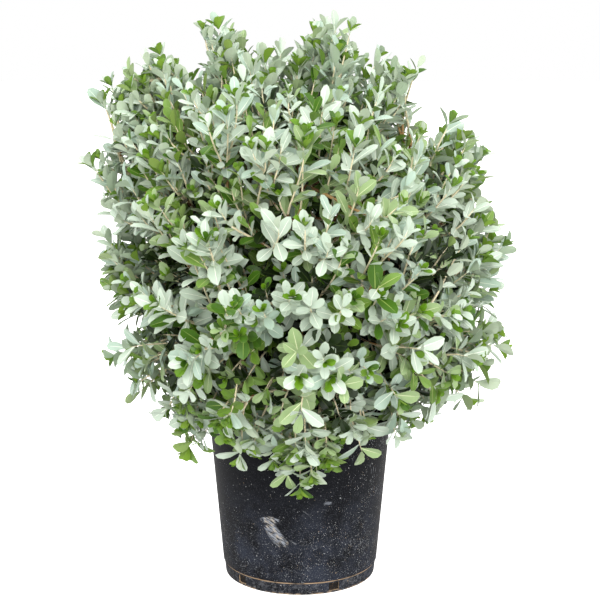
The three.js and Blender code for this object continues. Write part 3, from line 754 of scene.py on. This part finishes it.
def clear_of_pot(place):
    outside = math.hypot(place.x, place.y) > lip_radius + POT_CLEARANCE
    return outside or place.z > POT_HEIGHT + POT_CLEARANCE


def in_bay(place):
    return any(math.hypot(place.x - x, place.z - z) < radius for x, z, radius in BAYS)


def nearest_mass(place):
    return min(masses, key=lambda mass: (mass.heart - place).length)


def unit_lerp(low, high, share):
    return low + (high - low) * min(1, max(0, share))


def aside(axis, turn):
    """A direction square to an axis, at a turn about it."""
    return Matrix.Rotation(turn, 3, axis) @ axis.orthogonal().normalized()


def leaf_length_at(height):
    """How long a full-grown leaf is: small low in the shrub, and large from its middle up."""
    return unit_lerp(*LEAF_LENGTHS, (height - LEAF_LENGTH_FROM) / LEAF_LENGTH_RISE)


draw = seeded(TWIG_SEED)
reaching_tips = []
for index in range(TWIG_COUNT):
    aim = even_direction(index, TWIG_COUNT)
    for axis in range(3):
        aim[axis] += (draw() - 0.5) * TWIG_SPREAD
    reaching_tips.append(canopy_point(aim.normalized()))
leading_tips = [Vector(place) for place in LEADING_SHOOTS]

luck = random.Random(SHOOT_SEED)
plans = [(tip, 0, 0.0) for tip in reaching_tips + leading_tips]
for tip in leading_tips:
    growth = growth_at(tip)
    for index in range(SIDE_SHOOTS):
        back = growth * luck.uniform(*SIDE_BACK)
        plans.append((tip - back + aside(growth, index * GOLDEN_ANGLE) * luck.uniform(*SIDE_OUT), 1, 0.0))
for index in range(SHOOT_COUNT):
    aim = even_direction(index, SHOOT_COUNT)
    for axis in range(3):
        aim[axis] += luck.uniform(-0.5, 0.5) * SHOOT_SPREAD
    surface = canopy_point(aim.normalized())
    recess = 0
    for scale, deep, low in RECESSES:
        recess += deep * smooth_step(noise.noise(surface * scale), low, low + RECESS_SOFT)
    recess *= unit_lerp(*RECESS_SHARE, smooth_step(surface.z, *RECESS_HEIGHTS))
    depth = SHOOT_DEPTH * luck.random() ** 1.5 - SHOOT_OUT + recess
    plans.append((surface - outward_at(surface) * depth, 1, depth))
for index in range(DEEP_SHOOTS):
    surface = canopy_point(even_direction(index, DEEP_SHOOTS))
    depth = luck.uniform(*DEEP_REACH)
    plans.append((surface - outward_at(surface) * depth, 1, depth))
for index in range(RIM_SHOOTS):
    out, height = luck.uniform(*RIM_REACH), luck.uniform(*RIM_HEIGHTS)
    tip = direction(math.degrees(index * GOLDEN_ANGLE)) * out + Vector((0, 0, height))
    plans.append((tip, 1, RIM_DEPTH))


def wood_samples(line, low, high, count):
    """Places along a curve with its heading at each, where finer shoots may fork from it."""
    samples = []
    for share in spread(low, high, count):
        heading = bezier(line, min(1, share + 0.01)) - bezier(line, share - 0.01)
        samples.append((bezier(line, share), heading.normalized()))
    return samples


def grow_shoot(mass, tip, rank, depth):
    """A shoot from the wood behind it to just under its tip, where its last leaf ends."""
    growth = growth_at(tip)
    end = tip - growth * leaf_length_at(tip.z) * LAST_LEAF_SHARE
    wanted = end - growth * luck.uniform(*FORK_BACK)
    places = np.array([place for place, heading in mass.wood])
    start, heading = mass.wood[int(np.argmin(((places - np.array(wanted)) ** 2).sum(1)))]
    length = (end - start).length
    line = (start, start + heading * START_HANDLE * length, end - growth * END_HANDLE * length, end)
    shoot = SimpleNamespace(line=line, length=length, tip=tip, rank=rank, depth=depth)
    mass.wood += wood_samples(line, *FORKS_ON_SHOOT)
    mass.shoots.append(shoot)


for mass in masses:
    mass.wood = wood_samples((mass.tip, mass.heart), *FORKS_ON_STEM)
    mass.shoots = []
plans = [(nearest_mass(tip), tip, rank, depth) for tip, rank, depth in plans
         if clear_of_pot(tip) and not in_bay(tip)]
for plan in sorted(plans, key=lambda plan: (plan[2], (plan[0].heart - plan[1]).length)):
    grow_shoot(*plan)

TWIG_SIDES = 3
TWIG_RINGS = 7
TWIG_ROOT_RADIUS = (0.0058, 0.0038)
TWIG_TIP_RADIUS = 0.0018
TWIG_OLD, TWIG_BROWN, TWIG_YOUNG = range(3)
YOUNG_LENGTH = 0.16
OLD_LEAST, OLD_MOST = 0.1, 0.65


def tube(line, root_radius):
    """Places and triangles of a thin tapering twig that ends in a point."""
    shares = spread(0, 1, TWIG_RINGS)
    middles = [bezier(line, share) for share in shares]
    side = (middles[1] - middles[0]).orthogonal().normalized()
    places = []
    for index, middle in enumerate(middles[:-1]):
        ahead = (middles[index + 1] - middle).normalized()
        side = (side - ahead * side.dot(ahead)).normalized()
        radius = unit_lerp(root_radius, TWIG_TIP_RADIUS, shares[index])
        for corner in range(TWIG_SIDES):
            places.append(middle + Matrix.Rotation(corner * math.tau / TWIG_SIDES, 3, ahead) @ side * radius)
    places.append(middles[-1])
    triangles, ring_of = [], []
    for ring in range(TWIG_RINGS - 1):
        for corner in range(TWIG_SIDES):
            low, low_next = ring * TWIG_SIDES + corner, ring * TWIG_SIDES + (corner + 1) % TWIG_SIDES
            if ring < TWIG_RINGS - 2:
                above, above_next = low + TWIG_SIDES, low_next + TWIG_SIDES
                triangles += [(low, low_next, above_next), (low, above_next, above)]
                ring_of += [ring, ring]
            else:
                triangles.append((low, low_next, len(places) - 1))
                ring_of.append(ring)
    return places, triangles, ring_of


def srgb(red, green, blue):
    """A shader's linear colour from one given as it looks on a screen, from 0 to 255."""
    shares = (channel / 255 for channel in (red, green, blue))
    return (*(share / 12.92 if share <= 0.04045 else ((share + 0.055) / 1.055) ** 2.4 for share in shares), 1)


twig_finishes = [
    new_material("twig_old_brown", Base_Color=srgb(136, 100, 66), Roughness=0.8)[0],
    new_material("twig_tan", Base_Color=srgb(192, 152, 102), Roughness=0.7)[0],
    new_material("twig_cream_green", Base_Color=srgb(230, 216, 180), Roughness=0.55, Sheen_Weight=0.2)[0],
]
for tier in TIERS:
    places, triangles, slots, count = [], [], [], 0
    for shoot in [shoot for mass in masses if mass.tier == tier["name"] for shoot in mass.shoots]:
        own_places, own_triangles, ring_of = tube(shoot.line, TWIG_ROOT_RADIUS[shoot.rank])
        places += own_places
        triangles += [[corner + count for corner in triangle] for triangle in own_triangles]
        old = TWIG_RINGS * min(OLD_MOST, max(OLD_LEAST, 1 - YOUNG_LENGTH / shoot.length))
        slots += [TWIG_YOUNG if ring > old else TWIG_BROWN if ring > old / 2 else TWIG_OLD
                  for ring in ring_of]
        count += len(own_places)
    twigs = mesh_from_triangles(f"twigs_{tier['name']}", places, triangles, twig_finishes, slots)
    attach(twigs, "root")

# Leaves: leathery, covered on both faces with fine silky hairs that make them silver. They stand in a
# spiral round each shoot, folded a little along a pale rib. Low in the shrub they are small and round, in
# rosettes at the ends of the shoots. Bright green young leaves open at the tips.
LEAF_SEED = 77
BLADE_GAP = 0.0003
RIM_OUT = 0.001
TIP_OUT = 0.012
RIB_HALF = 0.00085
LEAF_FOLD = math.tan(math.radians(16))
FOLD_LUCK = (0.3, 1.8)
FRESH_FOLD = 1.6
WIDTH_SHARE = (0.43, 0.56)
CURL = (-0.06, 0.22)
WAVE = 0.03
WAVE_TURN = 5.2
LARGE_SHARE = (0.28, 0.50)
LEADING_LARGE_SHARE = (0.95, 0.25)
LARGE_GROWTH = (1.25, 0.92)
SMALL_GROWTH = (0.80, 0.68)
SMALL_UNDER = 0.044
OUTER_DEPTH = 0.040
OUTER_HEIGHTS = (0.38, 0.92)
INNER_HEIGHTS = (0.62, 1.15)
LEAFY_LENGTH = (0.095, 0.160)
LEADING_LEAFY = 1.3
LEAF_STEP = (0.0096, 0.0134)
INNER_STEP = 1.2
TIP_SLANT = (48, 26)
FULL_SLANT = (74, 54)
SLANT_LUCK = 13
SAME_SPRAY_SHARE = 0.75
FRESH_COUNT = 4
FRESH_SHARE = {"outer": 0.64, "inner": 0.30}
FRESH_GREEN_SHARE = 0.75
FRESH_ROUNDNESS = 0.75
FRESH_SLANT, FRESH_SLANT_STEP = 12, 11
FRESH_SIZE, FRESH_SIZE_STEP = 0.40, 0.07
FACE, BACK, RIB = range(3)

# Sprays of leaves by colour: the face, the back, and the rib, each as it looks on a screen
SPRAYS = {
    "silver": ((187, 202, 184), (194, 207, 182), (236, 241, 226)),
    "silver_blue": ((165, 186, 169), (172, 190, 162), (222, 230, 212)),
    "silver_green": ((142, 166, 112), (160, 179, 128), (210, 218, 172)),
    "sage": ((112, 144, 64), (138, 162, 92), (182, 194, 124)),
    "olive": ((92, 124, 38), (124, 148, 70), (170, 184, 106)),
    "mid_green": ((64, 102, 20), (104, 136, 54), (142, 164, 82)),
    "painted_shade_green": ((23, 40, 7), (44, 62, 20), (74, 92, 40)),
    "fresh_green": ((92, 132, 20), (120, 152, 50), (150, 170, 74)),
}
MID_GREEN, FRESH = (tuple(SPRAYS).index(name) for name in ("mid_green", "fresh_green"))

# How often each spray comes in either layer, in the order above: low in the shrub, and high in it
SPRAY_SHARES = {
    "outer": ((0.31, 0.13, 0.34, 0.11, 0.06, 0.05, 0.00, 0.0),
              (0.62, 0.22, 0.06, 0.02, 0.01, 0.07, 0.00, 0.0)),
    # The inner layer's darker, greener sprays are painted shade, with the green of light through leaves
    # painted in too. Low inside the shrub they are darkest.
    "inner": ((0.02, 0.05, 0.06, 0.06, 0.06, 0.04, 0.71, 0.0),
              (0.18, 0.16, 0.21, 0.18, 0.11, 0.13, 0.03, 0.0)),
}
LEAF_ROUGHNESS = (0.34, 0.62, 0.55)
leaf_finishes = []
for name, colours in SPRAYS.items():
    silky, gloss = (0.30, 1.5) if "silver" in name else (0.06, 1.36)
    for part, colour, roughness in zip(("", "_back", "_rib"), colours, LEAF_ROUGHNESS):
        leaf_finishes.append(new_material(
            f"leaf_{name}{part}", Base_Color=srgb(*colour), Roughness=roughness, IOR=gloss,
            Sheen_Weight=silky, Sheen_Roughness=0.45, Sheen_Tint=(0.92, 0.95, 0.92, 1))[0])


def blade_shape(shares, pointed, rounded, face_strips):
    """One leaf's corners and triangles. Shares run along the leaf, and pointed and rounded are its
    half-widths there. A strip runs between two columns: 2 is an edge, 1 lies beside the rib, 0 is the rib."""
    corners, triangles, parts = [], [], []
    last = len(shares) - 1
    for left, right, sheet, part in (*face_strips, (2, 0, -1, BACK), (0, -2, -1, BACK)):
        first = len(corners)
        for station in range(last):
            corners.extend([(station, left, sheet), (station, right, sheet)])
        corners.append((last, 0, sheet))
        for a in range(first, first + 2 * last - 2, 2):
            if part == BACK:
                triangles.extend([(a, a + 1, a + 2), (a + 1, a + 3, a + 2)])
            else:
                triangles.extend([(a, a + 1, a + 3), (a, a + 3, a + 2)])
        triangles.append((len(corners) - 3, len(corners) - 2, len(corners) - 1))
        parts.extend([part] * (2 * last - 1))
    station, column, sheet = np.array(corners).T
    return SimpleNamespace(
        shares=np.array(shares)[station], pointed=np.array(pointed)[station],
        rounded=np.array(rounded)[station], at_tip=station == last, column=column, sheet=sheet,
        triangles=np.array(triangles), parts=np.array(parts))


LARGE_BLADE = blade_shape(
    (0.0, 0.17, 0.42, 0.69, 0.91, 1.0), (0.036, 0.17, 0.42, 0.49, 0.28, 0.0),
    (0.040, 0.15, 0.39, 0.50, 0.37, 0.0),
    ((-2, -1, 1, FACE), (-1, 1, 1, RIB), (1, 2, 1, FACE)))
SMALL_BLADE = blade_shape(
    (0.0, 0.33, 0.68, 0.92, 1.0), (0.036, 0.34, 0.49, 0.27, 0.0), (0.040, 0.32, 0.50, 0.36, 0.0),
    ((-2, 0, 1, FACE), (0, 2, 1, FACE)))


def leaf_places(leaves, blade):
    """Places of all corners of all leaves: an array of leaves by corners by three."""
    own = {key: values[:, None] for key, values in leaves.items()}
    half = blade.pointed * (1 - own["round"]) + blade.rounded * own["round"]
    edge = half * own["width"] + np.where(half > 0, RIM_OUT * (blade.sheet < 0), 0)
    rib = np.minimum(RIB_HALF * (1 - blade.shares ** 2) * own["length"] / 0.05, edge * 0.6)
    at_edge = np.abs(blade.column) == 2
    across = np.where(at_edge, edge, np.where(blade.column == 0, 0, rib)) * np.sign(blade.column)
    along = blade.shares * own["length"] * (1 + TIP_OUT * (blade.sheet < 0) * blade.at_tip)
    bow = -own["curl"] * blade.shares ** 2 * own["length"]
    wave = own["wave"] * np.sin(blade.shares * WAVE_TURN + own["phase"]) * at_edge
    height = bow + np.abs(across) * own["fold"] + wave * np.sign(blade.column) + blade.sheet * BLADE_GAP / 2
    return (own["root"] + own["side"] * across[:, :, None]
            + own["along"] * along[:, :, None] + own["up"] * height[:, :, None])


def add_leaf(leaves, root, along, up, length, roundness, spray, fresh=False):
    side = along.cross(up).normalized()
    leaves.append(dict(
        root=root, along=along, side=side, up=side.cross(along), length=length, round=roundness, spray=spray,
        width=length * luck.uniform(0.88, 1.12) * unit_lerp(*WIDTH_SHARE, roundness),
        fold=LEAF_FOLD * luck.uniform(*FOLD_LUCK) * (FRESH_FOLD if fresh else 1),
        curl=luck.uniform(*CURL),
        wave=length * luck.uniform(0, WAVE),
        phase=luck.uniform(0, math.tau)))


def dress_shoot(shoot, leaves):
    """Leaves in a golden-angle spiral over the outer part of a shoot, and young ones round its tip."""
    high = smooth_step(shoot.tip.z, *OUTER_HEIGHTS)
    # Painted shade: shoots deeper than OUTER_DEPTH take the inner layer's darker sprays, and the lower they
    # stand, the darker those sprays are.
    layer = "inner" if shoot.depth > OUTER_DEPTH else "outer"
    bright = high if layer == "outer" else smooth_step(shoot.tip.z, *INNER_HEIGHTS)
    shares = [unit_lerp(*pair, bright) for pair in zip(*SPRAY_SHARES[layer])]
    spray = luck.choices(range(len(SPRAYS)), shares)[0]
    large_share = LEADING_LARGE_SHARE if shoot.rank == 0 else LARGE_SHARE
    large = layer == "outer" and luck.random() < unit_lerp(*large_share, high)
    growing = unit_lerp(*(LARGE_GROWTH if large else SMALL_GROWTH), high)
    full = leaf_length_at(shoot.tip.z) * luck.uniform(0.88, 1.14) * growing
    roundness = 0.95 - 0.80 * high + luck.uniform(-0.25, 0.25) - (0.4 if large else 0)
    roundness = min(1, max(0, roundness))
    leading = LEADING_LEAFY if shoot.rank == 0 else 1
    leafy = min(shoot.length * 0.8, unit_lerp(*LEAFY_LENGTH, high) * luck.uniform(0.8, 1.25) * leading)
    step = unit_lerp(*LEAF_STEP, high) * growing ** 0.7 * (1 if layer == "outer" else INNER_STEP)
    count = max(5, round(leafy / step))
    first_turn = luck.uniform(0, math.tau)
    outward = outward_at(shoot.tip)
    for index in range(count):
        back = leafy * (index / count) ** unit_lerp(1.5, 1.1, high)
        share = 1 - back / shoot.length
        place = bezier(shoot.line, share)
        axis = (place - bezier(shoot.line, share - 0.02)).normalized()
        slant = unit_lerp(unit_lerp(*TIP_SLANT, high), unit_lerp(*FULL_SLANT, high), index / 5)
        slant = math.radians(slant + luck.uniform(-SLANT_LUCK, SLANT_LUCK))
        along = axis * math.cos(slant) + aside(axis, first_turn - index * GOLDEN_ANGLE) * math.sin(slant)
        along = (along + Vector((0, 0, luck.uniform(-0.12, 0.14)))).normalized()
        up = axis * 0.8 + outward * 0.7 + Vector((0, 0, 0.5))
        up += Vector([luck.uniform(-0.3, 0.3) for axis_index in range(3)])
        size = full * unit_lerp(0.70, 1.0, (index + 0.5) / 3) * luck.uniform(0.82, 1.12)
        own = spray if luck.random() < SAME_SPRAY_SHARE else luck.choices(range(len(SPRAYS)), shares)[0]
        if not in_bay(place + along * size):
            add_leaf(leaves, place, along, up.normalized(), size, roundness, own)
    if luck.random() < FRESH_SHARE[layer]:
        end = shoot.line[-1]
        axis = (end - bezier(shoot.line, 0.97)).normalized()
        for index in range(FRESH_COUNT):
            beside = aside(axis, index * GOLDEN_ANGLE + first_turn)
            slant = math.radians(FRESH_SLANT + FRESH_SLANT_STEP * index + luck.uniform(-5, 5))
            along = axis * math.cos(slant) + beside * math.sin(slant)
            size = full * (FRESH_SIZE + FRESH_SIZE_STEP * index) * luck.uniform(0.85, 1.15)
            own = FRESH if luck.random() < FRESH_GREEN_SHARE else MID_GREEN
            add_leaf(leaves, end, along, axis + beside * -0.2, size, FRESH_ROUNDNESS, own, fresh=True)


luck = random.Random(LEAF_SEED)
for mass in masses:
    grown = []
    for shoot in mass.shoots:
        dress_shoot(shoot, grown)
    leaves = {key: np.array([leaf[key] for leaf in grown], float) for key in grown[0]}
    places, triangles, slots, corner_count = [], [], [], 0
    small = leaves["length"] < SMALL_UNDER
    for blade, chosen in ((LARGE_BLADE, ~small), (SMALL_BLADE, small)):
        some = {key: values[chosen] for key, values in leaves.items()}
        own_places = leaf_places(some, blade)
        starts = corner_count + np.arange(len(own_places)) * own_places.shape[1]
        places.append(own_places.reshape(-1, 3))
        triangles.append((blade.triangles[None] + starts[:, None, None]).reshape(-1, 3))
        slots.append((blade.parts[None] + 3 * some["spray"].astype(int)[:, None]).ravel())
        corner_count += len(places[-1])
    foliage = mesh_from_triangles(
        f"leaves_{mass.name}", np.concatenate(places), np.concatenate(triangles), leaf_finishes,
        np.concatenate(slots))
    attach(foliage, "root")
    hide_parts(f"foliage_{mass.name}")

# Floor, light and camera: a plain white studio floor under soft light from all round and four large soft
# lamps. The camera stands where the ellipse of the tub's foot in the photograph puts it.
FLOOR_SIZE = 60
SKY_LIGHT = 1.36
deselect()
bpy.ops.mesh.primitive_plane_add(size=FLOOR_SIZE)
floor = bpy.context.object
floor.name = "floor"


def brighter_to_camera(tree, other, camera):
    """One strength for the camera and another for all else, so that the ground stays white."""
    seen = add_node(tree, "LightPath").outputs["Is Camera Ray"]
    sockets = {"Value": seen, "To Min": other, "To Max": camera}
    return add_node(tree, "MapRange", sockets).outputs["Result"]


floor_finish, shader = new_material(
    "white_floor", Base_Color=(0.6, 0.6, 0.6, 1), Roughness=0.9, Emission_Color=(1, 1, 1, 1))
feed(shader, "Emission Strength", brighter_to_camera(shader.id_data, 0.0, 1.0))
floor.data.materials.append(floor_finish)

world = bpy.data.worlds.new("studio")
bpy.context.scene.world = world
world.use_nodes = True
sky = world.node_tree.nodes["Background"]
feed(sky, "Strength", brighter_to_camera(world.node_tree, SKY_LIGHT, 1.0))
sky.inputs["Color"].default_value = (1, 1, 1, 1)


def add_lamp(name, place, target, size, power):
    bpy.ops.object.light_add(type="AREA", location=place)
    lamp = bpy.context.object
    lamp.name = name
    lamp.data.shape = "DISK"
    lamp.data.size = size
    lamp.data.energy = power
    lamp.rotation_euler = (Vector(target) - Vector(place)).to_track_quat("-Z", "Y").to_euler()


add_lamp("key_lamp", (-1.2, -2.8, 4.0), (0, 0, 0.8), 4.4, 88)
add_lamp("top_lamp", (0.2, -0.2, 4.8), (0, 0, 0.8), 4.0, 25)
add_lamp("front_lamp", (1.6, -4.2, 2.0), (0, 0, 0.7), 3.2, 92)
add_lamp("back_lamp", (0.8, 3.0, 3.8), (0, 0, 0.8), 3.6, 60)

CAMERA_DISTANCE = 3.4
CAMERA_HEIGHT = 1.32
CAMERA_PITCH = math.radians(10.80)
FOCAL_PIXELS = 1451
IMAGE_WIDTH = 600
SENSOR_WIDTH = 36
bpy.ops.object.camera_add(
    location=(0, -CAMERA_DISTANCE, CAMERA_HEIGHT), rotation=(math.pi / 2 - CAMERA_PITCH, 0, 0))
camera = bpy.context.object
camera.data.sensor_width = SENSOR_WIDTH
camera.data.lens = FOCAL_PIXELS / IMAGE_WIDTH * SENSOR_WIDTH
bpy.context.scene.camera = camera
bpy.context.scene.view_settings.view_transform = "Standard"
